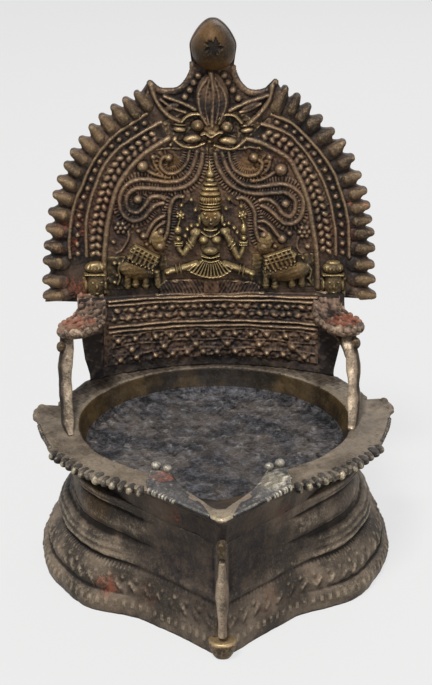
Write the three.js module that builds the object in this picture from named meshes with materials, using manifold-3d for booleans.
// Temple oil lamp in cast bronze, 166 mm tall, in millimetres with +Z up and the spout towards -Y.
// A hollow teardrop pedestal carries a shallow oil bowl with a pointed spout. A curved wall rises
// from the back of the bowl's rim and holds a flat arch plate, and two struts brace it at the sides.
// Pieces are placed about the bowl's axis, and the whole lamp is moved at the end so that its origin
// lies under the middle of its outline.
import * as THREE from "three";
import { mergeVertices } from "three/addons/utils/BufferGeometryUtils.js";
import Module from "manifold-3d";

const wasm = await Module();
wasm.setup();

// Pedestal
const footRadius = 57.5;
const pedestalHeight = 36;
const pedestalWall = 3;
const prowReach = 70.5; // where the two straight sides of the prow would meet
const keelHalf = 3; // half the width of the narrow flat on which the keel's pieces sit
const keelFlat = prowReach - keelHalf;
const toeDepth = 4.5;
const toeReach = keelFlat + toeDepth;
const toeHeight = 5.7;
const rodBottom = 6.7;
const rodTop = 31.1;
const rodRadius = 2;
const keelBeadHeight = 6.1;

// Bowl and rim
const wellRadius = 43.5;
const floorRadius = 41;
const floorThickness = 2;
const rimTop = 45.8;
const flangeThickness = 2.5;
const neckRadius = 45.8;
const channelTip = 61.3;
const channelDepth = 3;
const gadroonCount = 9;
const gadroonRise = 1.5;
const leafThickness = 0.7;

// Back wall and arch plate
const plateFront = 46; // y of the plate's front face
const plateThickness = 3;
const wallHalfWidth = 42;
const wallThickness = 3;
const wallTop = 72;
const wallBowBottom = 13; // how far the wall's ends come forward at the rim
const wallBowTop = 5;
const panelHalfWidth = 36.6;
const plateTop = 165.9;
const teethPerSide = 16;
// The plate and what it carries are drawn between these two heights, and then fitted between the
// wall's top and the plate's top.
const drawnFoot = 72;
const drawnTop = 165.9;

// Struts and corbels
const strutFoot = [45.6, -9];
const strutHead = [48.2, 17];
const strutWidth = 4;
const corbelBottom = 63.5;
const corbelReach = 14;
const pinRadius = 1;
const pinHeadRadius = 1.5;

// Clearances
const seatGap = 0.3; // between pieces that sit on each other
const curveGap = 0.4; // the same where both are curved
const ringGap = 0.35; // between neighbouring mouldings on the plate
const corbelTop = wallTop - curveGap;

const rad = THREE.MathUtils.degToRad;
const mix = THREE.MathUtils.lerp;
const smooth = THREE.MathUtils.smoothstep;

// Materials: one bronze in the tones that wear and soot have given it
const bronze = (color, roughness = 0.5) =>
  new THREE.MeshStandardMaterial({ color, roughness, metalness: 0.85 });
const darkBronze = bronze(0x4a3c30, 0.58);
const brownBronze = bronze(0x5c4a38);
const wornBronze = bronze(0x84683c, 0.42);
const goldBronze = bronze(0x9a7a3e, 0.38);
const redBronze = bronze(0x7a4634, 0.7);

// Solids

// A closed geometry as a solid that can be joined and cut.
function solid(geometry) {
  const g = geometry.clone();
  g.deleteAttribute("normal");
  g.deleteAttribute("uv");
  const merged = mergeVertices(g, 1e-4);
  return new wasm.Manifold(
    new wasm.Mesh({
      numProp: 3,
      vertProperties: merged.attributes.position.array,
      triVerts: new Uint32Array(merged.index.array),
    }),
  );
}

const join = (...solids) => solids.reduce((a, b) => a.add(b));

// A solid back as a named mesh.
function piece(name, body, material) {
  const m = body.getMesh();
  const g = new THREE.BufferGeometry();
  const xyz = new Float32Array(m.numVert * 3);
  for (let i = 0; i < m.numVert; i++)
    xyz.set(m.vertProperties.subarray(i * m.numProp, i * m.numProp + 3), i * 3);
  g.setAttribute("position", new THREE.BufferAttribute(xyz, 3));
  g.setIndex(new THREE.BufferAttribute(new Uint32Array(m.triVerts), 1));
  g.computeVertexNormals();
  const mesh = new THREE.Mesh(g, material);
  mesh.name = name;
  return mesh;
}

// A closed solid through rings of equal length, bottom first, each anticlockwise from above.
function loft(rings) {
  const n = rings[0].length;
  const points = rings.flat();
  const faces = [];
  for (let k = 0; k + 1 < rings.length; k++)
    for (let i = 0; i < n; i++) {
      const j = (i + 1) % n;
      const [a, b, c, d] = [k * n + i, k * n + j, (k + 1) * n + j, (k + 1) * n + i];
      faces.push(a, b, c, a, c, d);
    }
  for (const [k, flip] of [[0, true], [rings.length - 1, false]]) {
    const middle = points.length;
    const ring = rings[k];
    points.push([0, 1, 2].map((x) => ring.reduce((s, p) => s + p[x], 0) / n));
    for (let i = 0; i < n; i++) {
      const [a, b] = [k * n + i, k * n + ((i + 1) % n)];
      faces.push(middle, ...(flip ? [b, a] : [a, b]));
    }
  }
  const g = new THREE.BufferGeometry();
  g.setAttribute("position", new THREE.Float32BufferAttribute(points.flat(), 3));
  g.setIndex(faces);
  return solid(g);
}

const box = (x0, x1, y0, y1, z0, z1) =>
  solid(
    new THREE.BoxGeometry(x1 - x0, y1 - y0, z1 - z0).translate(
      (x0 + x1) / 2,
      (y0 + y1) / 2,
      (z0 + z1) / 2,
    ),
  );

// An ellipsoid with radii along x, y and z, turned about the y axis.
function blob(x, y, z, rx, ry, rz, turn = 0, sides = 8, rows = 5) {
  const g = new THREE.SphereGeometry(1, sides, rows).rotateX(Math.PI / 2);
  return solid(g.scale(rx, ry, rz).rotateY(rad(turn)).translate(x, y, z));
}

// A small bead of few faces.
const bead = (x, y, z, r) => solid(new THREE.OctahedronGeometry(r * 1.15, 0).translate(x, y, z));

// A rod of round section along points.
function rod(points, radius, steps = points.length * 2, sides = 6) {
  const section = new THREE.Shape(
    Array.from({ length: sides }, (_, i) => {
      const a = (i / sides) * 2 * Math.PI;
      return new THREE.Vector2(radius * Math.cos(a), radius * Math.sin(a));
    }),
  );
  const path = new THREE.CatmullRomCurve3(points.map((p) => new THREE.Vector3(...p)));
  return solid(new THREE.ExtrudeGeometry(section, { steps, extrudePath: path, bevelEnabled: false }));
}

// A flat shape in x and z, standing on the plane y = back and reaching depth towards the front.
function relief(points, depth, back = plateFront) {
  const g = new THREE.ExtrudeGeometry(new THREE.Shape(points.map((p) => new THREE.Vector2(...p))), {
    depth,
    bevelEnabled: false,
  });
  const p = g.attributes.position;
  for (let i = 0; i < p.count; i++) p.setXYZ(i, p.getX(i), back - p.getZ(i), p.getY(i));
  return solid(g);
}

// Everything of a solid that lies in front of the plate.
const far = 200;
const behindPlate = box(-far, far, plateFront, far, -far, far);
const onPlate = (body) => body.subtract(behindPlate);

const mirrored = (body) => body.mirror([1, 0, 0]);

// Outlines

// Teardrop plan at one height: a circle at the back, two straight sides at the prow.
const planAngles = [0, 4, 8, 13, 18, 23, 28, 33, 38, 43, 50, 58, 68, 79, 90, 101, 112, 124, 136, 147, 158, 169, 180];
function teardrop(radius, reach, z, flat = keelFlat) {
  const half = planAngles.map((degrees, i) => {
    if (i === 0) return [reach - flat, -flat, z];
    const t = rad(degrees);
    const side = reach / (Math.cos(t) + Math.abs(Math.sin(t)));
    const rho = mix(side, radius, smooth(degrees, 24, 50));
    return [rho * Math.sin(t), -rho * Math.cos(t), z];
  });
  const other = half.slice(0, -1).reverse().map(([x, y]) => [-x, y, z]);
  return [...half, ...other];
}

// The arch's curves, as ellipses round the plate's middle line.
const arch = {
  tips: { a: 57.3, b: 68.6, z: 81.3 },
  teeth: { a: 50.2, b: 56.3, z: 84.8 },
  outerRib: { a: 47, b: 53.5, z: 86.5 },
  middleRib: { a: 42.2, b: 44.3, z: 90.8 },
  innerRib: { a: 36.2, b: 47.6, z: 83.3 },
};
const between = (p, q, t) => ({ a: mix(p.a, q.a, t), b: mix(p.b, q.b, t), z: mix(p.z, q.z, t) });
const onCurve = (c, phi) => [c.a * Math.sin(phi), c.z + c.b * Math.cos(phi)];
const angleAtX = (c, x) => Math.asin(x / c.a);
const angleAtZ = (c, z) => Math.acos((z - c.z) / c.b);

// A band along a curve between two angles, width wide.
function band(curve, from, to, width, depth, steps = 22) {
  const outer = { ...curve, a: curve.a + width / 2, b: curve.b + width / 2 };
  const inner = { ...curve, a: curve.a - width / 2, b: curve.b - width / 2 };
  const at = (c) => Array.from({ length: steps + 1 }, (_, i) => onCurve(c, mix(from, to, i / steps)));
  return relief([...at(outer), ...at(inner).reverse()], depth);
}

// Angles that step evenly along a curve.
function spaced(curve, from, to, pitch) {
  const fine = 400;
  const angles = [];
  let left = pitch / 2;
  let last = onCurve(curve, from);
  for (let i = 1; i <= fine; i++) {
    const phi = mix(from, to, i / fine);
    const p = onCurve(curve, phi);
    left -= Math.hypot(p[0] - last[0], p[1] - last[1]);
    last = p;
    if (left <= 0) {
      angles.push(phi);
      left += pitch;
    }
  }
  return angles;
}

// The wall's front face, which bows forward at the sides and less towards its top.
function wallFront(x, z) {
  const bow = mix(wallBowBottom, wallBowTop, (z - rimTop) / (wallTop - rimTop));
  return plateFront - bow * (x / wallHalfWidth) ** 2;
}

// A strip that follows the wall, standing off its front, with a thickness at each height.
const wallRow = 5; // tallest stretch of wall that one row of faces spans
function wallStrip(halfWidth, steps, off, columns = 14) {
  const xs = Array.from({ length: columns + 1 }, (_, i) => mix(-halfWidth, halfWidth, i / columns));
  const ring = (z, thickness) => [
    ...xs.map((x) => [x, wallFront(x, z) - off - thickness, z]),
    ...xs.map((x) => [x, wallFront(x, z) - off, z]).reverse(),
  ];
  return loftFlat(steps.map(([z, thickness]) => ring(z, thickness)));
}
function wallSlab(halfWidth, z0, z1, off, thickness) {
  const rows = Math.ceil((z1 - z0) / wallRow);
  const steps = Array.from({ length: rows + 1 }, (_, k) => [mix(z0, z1, k / rows), thickness]);
  return wallStrip(halfWidth, steps, off);
}

// A solid through rings, lowest first, that run along a front and then back behind it.
function loftFlat(rings) {
  const n = rings[0].length;
  const faces = [];
  for (let k = 0; k + 1 < rings.length; k++)
    for (let i = 0; i < n; i++) {
      const j = (i + 1) % n;
      const [a, b, c, d] = [k * n + i, k * n + j, (k + 1) * n + j, (k + 1) * n + i];
      faces.push(a, b, c, a, c, d);
    }
  const top = (rings.length - 1) * n;
  for (let i = 0; i + 1 < n / 2; i++) {
    const [a, b, c, d] = [i, i + 1, n - 2 - i, n - 1 - i];
    faces.push(a, c, b, a, d, c, top + a, top + b, top + c, top + a, top + c, top + d);
  }
  const g = new THREE.BufferGeometry();
  g.setAttribute("position", new THREE.Float32BufferAttribute(rings.flat(2), 3));
  g.setIndex(faces);
  return solid(g);
}

// Pedestal: rings of radius and prow reach by height, with a hollow that follows them
const mouldings = [
  [0, 56.8, 0], [2.5, footRadius, 0.2], [5, 57, 0.2], [6.5, 56.2, -0.4], [7.5, 55.3, -0.8],
  [10, 54.9, -0.9], [12.5, 53.8, -1], [14.7, 52, -1.2], [16.5, 50, -1.8], [17.5, 51, -1.2],
  [21, 50.4, -1.3], [22.5, 48.6, -1.6], [25, 48.5, -1.6], [25.6, 46.7, -2], [29, 45.8, -2],
  [32.5, 46.4, -2], [34, 48, -1.2], [pedestalHeight, 48, -1.2],
];
function pedestal() {
  const outer = loft(mouldings.map(([z, r, d]) => teardrop(r, prowReach + d, z)));
  const inside = (radius, z) => {
    const reach = prowReach - 2 * pedestalWall;
    return teardrop(radius - pedestalWall, reach, z, reach - keelHalf);
  };
  const [low, high] = [-1, pedestalHeight + 1];
  const hollow = loft([inside(53.5, low), inside(50, 12), inside(46, 25), inside(46, high)]);
  return outer.subtract(hollow);
}

// Bowl: a neck on the pedestal, a flat rim with wings and a spout, and the shallow well
const flangeHalf = [
  [1.3, -70.2], [20.5, -51], [29, -47], [37, -42], [46, -31.5], [52, -20], [55.5, -9], [56.6, -1],
  [59, 5], [57.3, 13.7], [51, 12.5], [51.4, 16], [48.5, 24], [43.4, 33.6], [34, 41.4], [22, 48.6],
  [11, 52], [0, 53],
];
const evenHalf = (half, z) => [
  ...half.map(([x, y]) => [x, y, z]),
  ...half.slice(0, -1).reverse().map(([x, y]) => [-x, y, z]),
];
function wellRing(radius, tip, z) {
  const start = 27; // degrees from the front where the channel opens out of the round well
  const count = 22;
  const half = [[1.2, -tip, z], [8.5, -mix(tip, radius, 0.52), z]];
  for (let i = 0; i <= count; i++) {
    const t = rad(mix(start, 180, i / count));
    half.push([radius * Math.sin(t), -radius * Math.cos(t), z]);
  }
  const other = half.slice(0, -1).reverse().map(([x, y]) => [-x, y, z]);
  return [...half, ...other];
}
function oilBowl() {
  const neck = loft([
    teardrop(neckRadius, prowReach - 2, pedestalHeight),
    teardrop(neckRadius, prowReach - 2, rimTop - flangeThickness),
  ]);
  const flange = loft([
    evenHalf(flangeHalf, rimTop - flangeThickness),
    evenHalf(flangeHalf, rimTop),
  ]);
  const floor = pedestalHeight + floorThickness;
  const well = loft([
    wellRing(floorRadius, floorRadius + 1, floor),
    wellRing(mix(floorRadius, wellRadius, 0.7), channelTip - 4, rimTop - channelDepth),
    wellRing(wellRadius, channelTip, rimTop + 1),
  ]);
  return join(neck, flange).subtract(well);
}

// Rim ornaments, flat underneath on the rim
const underRim = box(-far, far, -far, far, -far, rimTop);
const gadroonFrom = new THREE.Vector2(21.8, -48.4);
const gadroonTo = new THREE.Vector2(49.2, -21.5);
function gadroons() {
  const middle = new THREE.Vector2(39.2, -37.6);
  const line = new THREE.QuadraticBezierCurve(gadroonFrom, middle, gadroonTo);
  const parts = [];
  for (let i = 0; i < gadroonCount; i++) {
    const t = (i + 0.5) / gadroonCount;
    const p = line.getPoint(t);
    const along = line.getTangent(t);
    const g = new THREE.SphereGeometry(1, 8, 4).scale(2.4, 3.6, gadroonRise);
    g.rotateZ(Math.atan2(along.y, along.x) + rad(18)).translate(p.x, p.y, rimTop);
    parts.push(solid(g));
  }
  return join(...parts).subtract(underRim);
}
const leafOutline = [[2.6, -67], [20.2, -50.4], [19.6, -43.5], [16.5, -40.5], [11.5, -50]];
const leafKnobs = [[17.2, -42.6, 1.9], [13.6, -45.4, 1.6]];
function spoutLeaf() {
  const ring = (z) => leafOutline.map(([x, y]) => [x, y, z]);
  const leaf = loft([ring(rimTop), ring(rimTop + leafThickness)]);
  const knobs = leafKnobs.map(([x, y, r]) => blob(x, y, rimTop + leafThickness, r, r, r));
  return join(leaf, ...knobs).subtract(underRim);
}

// Keel pieces, flat at the back on the prow's narrow face
const behindKeel = box(-far, far, -keelFlat, far, -far, far);
function keelRod() {
  const middle = mix(rodBottom, rodTop, 0.55);
  const profile = [
    [0, rodBottom], [1.2, rodBottom], [1.5, 12], [rodRadius, middle], [1.5, 26], [1.1, rodTop], [0, rodTop],
  ].map((p) => new THREE.Vector2(...p));
  const spindle = new THREE.LatheGeometry(profile, 10).rotateX(Math.PI / 2);
  return solid(spindle.translate(0, -keelFlat - rodRadius * 0.8, 0)).subtract(behindKeel);
}
const keelBead = () =>
  blob(0, -keelFlat - 1.2, rodTop + 1.3 + keelBeadHeight / 2, 1.7, 1.9, keelBeadHeight / 2).subtract(behindKeel);
function toeLug() {
  const half = [[4.2, -keelFlat], [4.2, 2.8 - toeReach], [3, 1 - toeReach], [0, -toeReach]];
  const outline = (k, z) => [
    ...half.slice().reverse().map(([x, y]) => [x * k, y, z]),
    ...half.slice(0, -1).map(([x, y]) => [-x * k, y, z]),
  ];
  const up = (ring) => ring.map(([x, y, z]) => [x, Math.min(y + 0.6, -keelFlat), z]);
  return loft([outline(1, 0), outline(1, toeHeight - 1.2), up(outline(0.85, toeHeight))]);
}

// Wall with its string courses and bead bands
const backWall = wallSlab(wallHalfWidth, rimTop, wallTop, -wallThickness, wallThickness);
const [courseRise, courseGround, courseHeight] = [1.1, 0.4, 0.9];
function stringCourse(z) {
  const [low, high, slope] = [z - 1.25, z + 0.35, 0.15];
  const steps = [
    [low, courseRise], [low + courseHeight, courseRise], [low + courseHeight + slope, courseGround],
    [high - slope, courseGround], [high, courseRise], [high + courseHeight, courseRise],
  ];
  return wallStrip(panelHalfWidth, steps, curveGap);
}
const bandThickness = 0.5;
function beadBand(z0, z1, rows) {
  const ground = wallSlab(panelHalfWidth, z0, z1, curveGap, bandThickness);
  const beads = rows.flatMap(({ z, count, radius }) =>
    Array.from({ length: count }, (_, i) => {
      const x = mix(-panelHalfWidth, panelHalfWidth, (i + 0.5) / count);
      return bead(x, wallFront(x, z) - Math.max(curveGap + bandThickness, radius * 1.2 + 0.1), z, radius);
    }),
  );
  return join(ground, ...beads);
}

// Arch plate
const tipAngles = Array.from({ length: teethPerSide }, (_, i) => {
  const first = angleAtX(arch.tips, 22.6);
  const last = angleAtZ(arch.tips, 72.4);
  const t = i / (teethPerSide - 1);
  return mix(first, last, t + 0.05 * Math.sin(Math.PI * t));
});
const crest = [
  [20.9, 145.8], [18, 143.6], [15, 142.9], [11.6, 143.6], [8.8, 146], [7.3, 149], [7.6, 152],
  [7.7, drawnTop - 8.9], [6.9, drawnTop - 4.9], [4.4, drawnTop - 1.3], [0, drawnTop],
];
const cornerInside = 52.4; // the plate's lower corners reach down past the corbels
function archPlate() {
  const notches = between(arch.tips, arch.teeth, 0.42);
  const half = [[cornerInside, drawnFoot], [cornerInside + 0.6, drawnFoot - 2], [55.5, drawnFoot - 1.8]];
  for (let i = teethPerSide - 1; i >= 0; i--) {
    half.push(onCurve(arch.tips, tipAngles[i]));
    if (i > 0) half.push(onCurve(notches, (tipAngles[i] + tipAngles[i - 1]) / 2));
  }
  half.push(...crest);
  const other = half.slice(0, -1).reverse().map(([x, z]) => [-x, z]);
  return relief([...half, ...other], plateThickness, plateFront + plateThickness);
}

// Flame teeth: half cones joined along their inner ends
function flameTeeth() {
  const inner = arch.teeth;
  const band0 = band(inner, tipAngles[0] + 0.02, tipAngles[teethPerSide - 1], 1.2, 0.6, 28);
  const teeth = tipAngles.map((phi) => {
    const [x1, z1] = onCurve(between(arch.tips, inner, 0.06), phi);
    const [x0, z0] = onCurve(inner, phi * 1.0);
    const length = Math.hypot(x1 - x0, z1 - z0) + 1;
    const g = new THREE.ConeGeometry(1.75, length, 6, 1).rotateY(rad(30));
    const turn = Math.atan2(x1 - x0, z1 - z0);
    g.rotateX(Math.PI / 2).rotateY(turn).translate((x0 + x1) / 2, plateFront, (z0 + z1) / 2);
    return solid(g);
  });
  return onPlate(join(band0, ...teeth));
}

// Moulded borders inside the teeth
const borderEndZ = 86; // above the attendants
function outerBorder() {
  const [rib1, rib2] = [arch.outerRib, arch.middleRib];
  const field = between(rib1, rib2, 0.5);
  const to = (c) => angleAtZ(c, borderEndZ);
  const from = (c, x) => angleAtX(c, x);
  const ground = band(field, from(field, 18.5), to(field), rib1.a - rib2.a, 0.5);
  const beads = spaced(field, from(field, 19.5), to(field), 3.1).map((phi) => {
    const [x, z] = onCurve(field, phi);
    return bead(x, plateFront - 0.4, z, 0.9);
  });
  const ribs = [band(rib1, from(rib1, 20), to(rib1), 1, 1.2), band(rib2, from(rib2, 16.5), to(rib2), 1, 1.2)];
  return onPlate(join(ground, ...ribs, ...beads));
}
function innerBorder() {
  const rib = arch.innerRib;
  const outer = { a: 39.9, b: 43.4, z: 89.6 };
  const inner = { a: 38.1, b: 44.6, z: 86.8 };
  const parts = [band(rib, angleAtX(rib, 13.5), angleAtZ(rib, drawnFoot + 4), 1.2, 1.2)];
  for (const row of [outer, inner]) {
    const [from, to] = [angleAtX(row, 15.5), angleAtZ(row, borderEndZ)];
    parts.push(band(row, from, to, 2.2, 0.5));
    for (const phi of spaced(row, from + 0.02, to, 2.7)) {
      const [x, z] = onCurve(row, phi);
      parts.push(bead(x, plateFront - 0.5, z, 1));
    }
  }
  const gapBand = band(arch.middleRib, 0, Math.PI, 1 + 2 * ringGap, 5, 60);
  return onPlate(join(...parts)).subtract(gapBand);
}

// Scroll field: trunks of foliage, volutes and berries on a thin raised ground
const scrollLines = [
  { r: 0.75, at: [[2.2, 124.3], [2.9, 119.2], [4.9, 114.2], [8, 110.6], [12.1, 109.2], [18.1, 109.8], [23.7, 109.9], [26.5, 108.2], [27.7, 104.8], [26.7, 101.9], [24.5, 101], [22.2, 102.4], [19.9, 105.8], [16.5, 106.6], [14.3, 106]] },
  { r: 0.75, at: [[4.7, 122.4], [5.2, 119.3], [7, 115.9], [9.8, 113.1], [14.2, 111.8], [19.8, 112.1], [24.7, 112], [28.7, 109.4], [30.2, 105.4], [29.5, 100.8], [26.8, 98.4], [24, 98.4], [21.7, 100.1], [18.8, 102.9], [15.4, 104.6]] },
  { r: 0.6, at: [[6, 121.9], [6.9, 118.8], [9.2, 116], [12.5, 114.6], [15.2, 115.5], [16.3, 118.3], [15.5, 120.9], [13.4, 121.7]] },
  { r: 0.65, at: [[8.8, 106.5], [11.6, 106], [13, 103.4], [13.6, 98.8], [14, 94.7], [14.6, 91.8], [16.4, 90.2]] },
  { r: 0.55, at: [[15.2, 113.6], [18.4, 114.6], [21.6, 116.4]] },
];
const berries = [[22.1, 117, 1.7], [23.8, 105.9, 1.4], [29.9, 95.8, 1.4], [16.9, 90.4, 1.2], [16.4, 94.2, 1.5], [13.4, 119.4, 1.3]];
function scrollField() {
  const edge = { ...arch.innerRib, a: arch.innerRib.a - 0.6 - ringGap, b: arch.innerRib.b - 0.6 - ringGap };
  const steps = 16;
  const curve = Array.from({ length: steps + 1 }, (_, i) =>
    onCurve(edge, mix(angleAtZ(edge, 90), angleAtX(edge, 13), i / steps)),
  );
  const ground = relief(
    [[14, 90], ...curve, [11.5, 125], [1.6, 124.6], [1.6, 118.5], [4, 112], [7.8, 105], [12.2, 101.5]],
    0.5,
  );
  const lines = scrollLines.map(({ r, at }) =>
    rod(at.map(([x, z]) => [x, plateFront - 0.5, z]), r, Math.round(at.length * 1.5), 4),
  );
  const balls = berries.map(([x, z, r]) => bead(x, plateFront - 0.7, z, r));
  return onPlate(join(ground, ...lines, ...balls));
}

// Lion mask, palmette and finial bud at the crown
function lionMask() {
  const y = plateFront;
  const side = (x) => [
    blob(x * 4.75, y - 1, 130.5, 2, 2, 2),
    blob(x * 7.4, y, 127.9, 3.6, 1.9, 1.3, x * 12),
    blob(x * 11.4, y, 129.4, 2.6, 1.4, 0.9, x * -8),
    rod([[x * 1.5, y - 0.6, 126.4], [x * 5.5, y - 0.6, 125.6], [x * 11.3, y - 0.6, 127]], 0.7, 6, 5),
  ];
  const ground = relief([[-12, 127], [-5, 125.6], [5, 125.6], [12, 127], [12, 130.5], [5.5, 133.2], [-5.5, 133.2], [-12, 130.5]], 0.6);
  return onPlate(join(ground, ...side(1), ...side(-1), blob(0, y, 128.4, 2.7, 2.8, 2)));
}
function palmette() {
  const y = plateFront;
  const parts = [blob(0, y, 141, 1.3, 1.9, 7.3), blob(2.4, y, 140.2, 1.2, 1.5, 6.4, 5), blob(-2.4, y, 140.2, 1.2, 1.5, 6.4, -5)];
  for (const s of [-1, 1]) {
    parts.push(blob(s * 9.4, y, 138.9, 6.6, 1.4, 1.2, s * -32));
    parts.push(blob(s * 12.3, y, 137.6, 6, 1.5, 1.4, s * -38));
    parts.push(blob(s * 14.2, y, 136.4, 7, 1.2, 0.9, s * -46));
  }
  const ground = relief([[-4.5, 134], [4.5, 134], [13, 133.2], [17, 138.5], [18.5, 142.2], [4.2, 139], [0, 147.6], [-4.2, 139], [-18.5, 142.2], [-17, 138.5], [-13, 133.2]], 0.5);
  return onPlate(join(ground, ...parts));
}
const finialBud = () => onPlate(blob(0, plateFront, drawnTop - 8.7, 7.2, 9, 8.3, 0, 14, 10));

// Seated goddess on her seat
function goddess() {
  const y = plateFront;
  const crown = [[0, 118.6], [0.5, 116.4], [1.2, 114.4], [0.8, 112.6], [2.2, 110.9], [2.8, 107.8], [3.4, 105], [3.6, 102.6], [0, 102.6]];
  const profile = crown.reverse().map((p) => new THREE.Vector2(...p));
  const tiara = solid(new THREE.LatheGeometry(profile, 10).rotateX(Math.PI / 2).translate(0, y, 0));
  const parts = [tiara, blob(0, y, 99.8, 3.5, 3.8, 3.6), blob(0, y, 95.2, 1.6, 2.2, 2.4), blob(0, y, 90.6, 3.6, 2.6, 4.6)];
  parts.push(blob(0, y - 1.2, 87.9, 2.5, 2.6, 2.2), blob(0, y, 82, 6.4, 2.8, 4.4), blob(0, y, 94, 5.6, 2, 1.8));
  for (const s of [-1, 1]) {
    parts.push(blob(s * 2.1, y - 1.8, 92.1, 1.7, 1.8, 1.7), blob(s * 4.9, y, 94.1, 2, 2, 1.8));
    parts.push(rod([[s * 5, y - 0.9, 93.8], [s * 7.4, y - 0.9, 90], [s * 9, y - 0.9, 87]], 1.3, 5));
    parts.push(rod([[s * 8.8, y - 0.9, 86.8], [s * 10.7, y - 1.1, 88.8], [s * 11, y - 1.2, 91]], 1.2, 5));
    parts.push(blob(s * 8.8, y, 80.6, 7, 2.9, 2.2, s * 10), blob(s * 7, y, 78.4, 5.6, 2.2, 1.4));
  }
  return onPlate(join(...parts)).subtract(box(-far, far, -far, far, -far, lotusTop + ringGap));
}
const lotusTop = 77;
function lotusSeat() {
  const half = [[16, drawnFoot + 0.6], [16.6, drawnFoot + 2], [15.4, lotusTop]];
  const outline = [...half, ...half.map(([x, z]) => [-x, z]).reverse()];
  return relief(outline, 2.2);
}

// Elephants face the goddess, with raised trunks
function elephant() {
  const y = plateFront;
  return onPlate(
    join(
      blob(25.4, y, 79.6, 6.6, 3.4, 3.6, 6),
      blob(25.4, y, 83.8, 5.4, 3, 2.5, 14),
      blob(18.9, y, 82.6, 2.6, 3.2, 3.2),
      blob(20.3, y, 86, 1.8, 2.2, 2),
      rod([[17.4, y - 0.9, 81.4], [16.9, y - 0.9, 84.4], [18, y - 0.9, 87.6]], 1, 6),
      rod([[20.3, y - 1.1, 79], [20, y - 1, 74.6]], 1.3, 2),
      rod([[25.2, y - 1.1, 78.6], [25, y - 1, 74.6]], 1.4, 2),
      rod([[30.3, y - 1.1, 79.6], [30.8, y - 1, 74.6]], 1.4, 2),
    ),
  );
}

// Attendants in front of the plate's lower corners
function attendant() {
  const y = plateFront;
  return onPlate(
    join(
      blob(40.9, y, 78.2, 3.2, 3.6, 3.3),
      blob(40.9, y, 82.1, 3.6, 3, 1.5),
      blob(40.9, y, 83.6, 2.4, 2.4, 1.4),
      relief([[37.9, drawnFoot + 0.4], [43.9, drawnFoot + 0.4], [43.3, 76.5], [38.5, 76.5]], 2.2),
    ),
  );
}

// Corbels, with a lug beside each strut's head and a hole for its pin
const strutAt = (z) => {
  const t = (z - rimTop) / (corbelBottom - rimTop);
  return [mix(strutFoot[0], strutHead[0], t), mix(strutFoot[1], strutHead[1], t)];
};
const pinZ = corbelBottom - 3;
const pinY = strutAt(pinZ)[1];
const lugHalf = 2.4;
const lugOut = strutAt(pinZ - lugHalf)[0] - strutWidth / 2 - seatGap;
function pinHole(reach) {
  const g = new THREE.CylinderGeometry(pinRadius + seatGap, pinRadius + seatGap, 2 * reach, 10);
  return solid(g.rotateZ(Math.PI / 2).translate(strutHead[0], pinY, pinZ));
}
function corbel() {
  const outline = (z, grow) => [
    [37.4 - grow, 24, z], [44.5, corbelReach - grow, z], [50.4 + grow, corbelReach + 2.5, z],
    [49.2 + grow, 27, z], [45.4, plateFront, z], [37.4 - grow, plateFront, z],
  ];
  const block = loft([outline(corbelBottom, -0.8), outline(corbelBottom + 2.5, 0.5), outline(corbelTop, 0)]);
  const lug = box(lugOut - 3, lugOut, pinY - lugHalf, pinY + lugHalf, pinZ - lugHalf, corbelBottom + 1);
  const wallShape = wallSlab(wallHalfWidth + seatGap, rimTop, wallTop + 1, -far / 10, far / 10 + 2 * curveGap);
  return join(block, lug).subtract(wallShape).subtract(pinHole(20));
}
function strut() {
  const high = corbelBottom - seatGap;
  const ring = (z, scale, k = 0.9) => {
    const [x, y] = strutAt(z);
    const w = (strutWidth / 2) * scale;
    return [[-w, -w * k], [0, -w * 1.25], [w, -w * k], [w, w * k], [-w, w * k]].map(([dx, dy]) => [x + dx, y + dy, z]);
  };
  const bar = loft([ring(rimTop, 1.25), ring(rimTop + 3, 0.95), ring(56, 0.9), ring(60, 1), ring(high, 1)]);
  return bar.subtract(pinHole(20));
}
function strutPin() {
  const [from, to] = [lugOut - 3 - 1.2, strutHead[0] + strutWidth / 2 + 0.4];
  const shank = new THREE.CylinderGeometry(pinRadius, pinRadius, to - from, 10);
  const body = solid(shank.rotateZ(Math.PI / 2).translate((from + to) / 2, pinY, pinZ));
  const outer = blob(to + 0.5, pinY, pinZ, 1.2, pinHeadRadius, pinHeadRadius);
  return join(body, outer);
}

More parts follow.
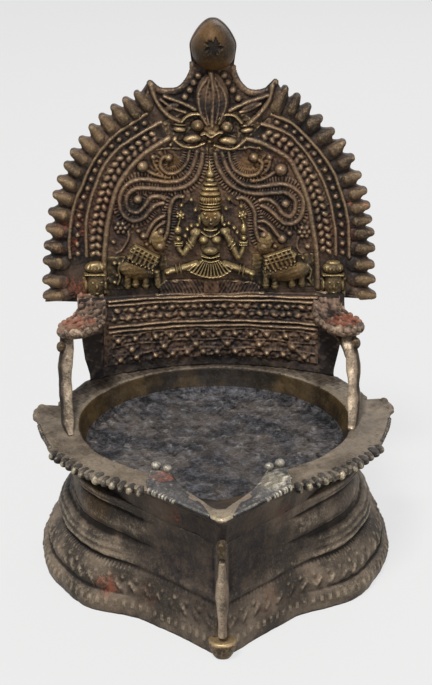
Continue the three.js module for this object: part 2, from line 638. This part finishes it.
// Assembly
const lamp = new THREE.Group();
lamp.position.y = (toeReach - footRadius) / 2;
const onThePlate = new THREE.Group();
onThePlate.scale.z = (plateTop - wallTop) / (drawnTop - drawnFoot);
onThePlate.position.z = wallTop - drawnFoot * onThePlate.scale.z;
lamp.add(onThePlate);
const add = (name, body, material, group = lamp) => group.add(piece(name, body, material));
const addPair = (name, body, material, group = lamp) => {
  add(name + "_right", body, material, group);
  add(name + "_left", mirrored(body), material, group);
};

add("pedestal", pedestal(), darkBronze);
add("oil_bowl", oilBowl(), darkBronze);
add("keel_rod", keelRod(), wornBronze);
add("keel_bead", keelBead(), wornBronze);
add("toe_lug", toeLug(), wornBronze);
addPair("rim_gadroons", gadroons(), brownBronze);
addPair("spout_leaf", spoutLeaf(), darkBronze);
add("back_wall", backWall, darkBronze);
add("string_course_upper", stringCourse(wallTop - 1.4), brownBronze);
add("string_course_lower", stringCourse(wallTop - 10.35), brownBronze);
const smallBeads = [7.1, 4.5].map((down) => ({ z: wallTop - down, count: 26, radius: 0.95 }));
add("bead_band_upper", beadBand(wallTop - 8.8, wallTop - 2.95, smallBeads), brownBronze);
const largeBeads = [[20.6, 12, 1.15], [17.6, 11, 1.3], [14.4, 12, 1.15]].map(
  ([down, count, radius]) => ({ z: wallTop - down, count, radius }),
);
add("bead_band_lower", beadBand(wallTop - 22.6, wallTop - 11.9, largeBeads), brownBronze);
add("arch_plate", archPlate(), darkBronze, onThePlate);
addPair("flame_teeth", flameTeeth(), wornBronze, onThePlate);
addPair("outer_border", outerBorder(), brownBronze, onThePlate);
addPair("inner_border", innerBorder(), brownBronze, onThePlate);
addPair("scroll_field", scrollField(), brownBronze, onThePlate);
add("lion_mask", lionMask(), wornBronze, onThePlate);
add("palmette", palmette(), brownBronze, onThePlate);
add("finial_bud", finialBud(), goldBronze, onThePlate);
add("goddess", goddess(), goldBronze, onThePlate);
add("lotus_seat", lotusSeat(), brownBronze, onThePlate);
addPair("elephant", elephant(), wornBronze, onThePlate);
addPair("attendant", attendant(), wornBronze, onThePlate);
addPair("corbel", corbel(), redBronze);
addPair("strut", strut(), wornBronze);
addPair("strut_pin", strutPin(), wornBronze);

export default lamp;
